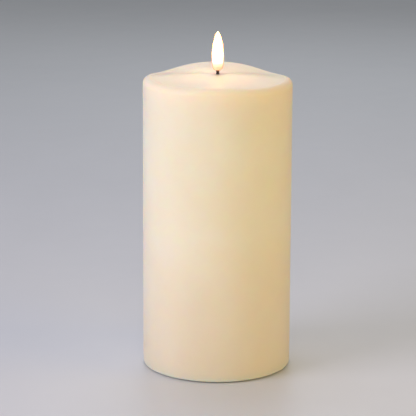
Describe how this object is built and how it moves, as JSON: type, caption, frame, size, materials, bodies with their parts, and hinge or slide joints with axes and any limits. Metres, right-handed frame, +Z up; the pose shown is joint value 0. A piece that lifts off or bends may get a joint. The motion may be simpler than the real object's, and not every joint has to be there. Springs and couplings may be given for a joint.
{
  "type": "flameless led candle",
  "caption": "Round ivory wax pillar candle with a lit moulded flame on a short black wick, a battery door and a slide switch in its base.",
  "frame": {"origin": "centre of the foot, on the surface that the candle stands on", "axes": "+Z up along the candle; -Y is the front, the side of the base with the switch; the battery door hinges on +Y; +X is to the right seen from the front"},
  "size_m": [0.0762, 0.0762, 0.1747],
  "materials": {
    "wax": "satin ivory wax, translucent",
    "flame": "frosted, lit from inside",
    "wick": "matt black",
    "housing": "fine matt grain, ivory",
    "switch_knob": "matt black",
    "switch_metal": "plain",
    "cell_label": "gloss sleeve, dark grey",
    "contact": "bright nickel plate",
    "board": "green solder mask",
    "chip": "matt black",
    "capacitor": "satin",
    "screw": "zinc plate",
    "lamp": "clear, water white",
    "pins": "tinned",
    "wire_red": "satin",
    "wire_black": "satin",
    "wire_white": "satin"
  },
  "bodies": {
    "candle": {"wax_shell": "wax", "flame_diffuser": "flame", "wick_sleeve": "wick", "base_housing": "housing", "housing_cap": "housing", "top_holder": "housing", "core_post": "housing", "flame_collar": "housing", "switch_body": "switch_metal", "cell_front": "cell_label", "cell_rear": "cell_label", "contact_bridge": "contact", "contact_negative": "contact", "contact_positive": "contact", "spring_bridge": "contact", "spring_negative": "contact", "circuit_board": "board", "led_board": "board", "timer_chip": "chip", "resistors": "chip", "capacitor": "capacitor", "switch_screws": "screw", "board_screws": "screw", "cap_screws": "screw", "led_lamp": "lamp", "led_pins": "pins", "lead_battery_red": "wire_red", "lead_led_red": "wire_red", "lead_battery_black": "wire_black", "lead_led_black": "wire_black", "lead_switch_a": "wire_white", "lead_switch_b": "wire_white"},
    "door": {"battery_door": "housing"},
    "switch": {"switch_slider": "switch_knob"}
  },
  "joints": [
    {"name": "door_swing", "type": "hinge", "parent": "candle", "child": "door", "pos_m": [0, 0.0184, 0.0019], "axis": [1, 0, 0], "range_deg": [0, 90]},
    {"name": "switch_slide", "type": "slide", "parent": "candle", "child": "switch", "axis": [1, 0, 0], "range_m": [0, 0.004]}
  ]
}
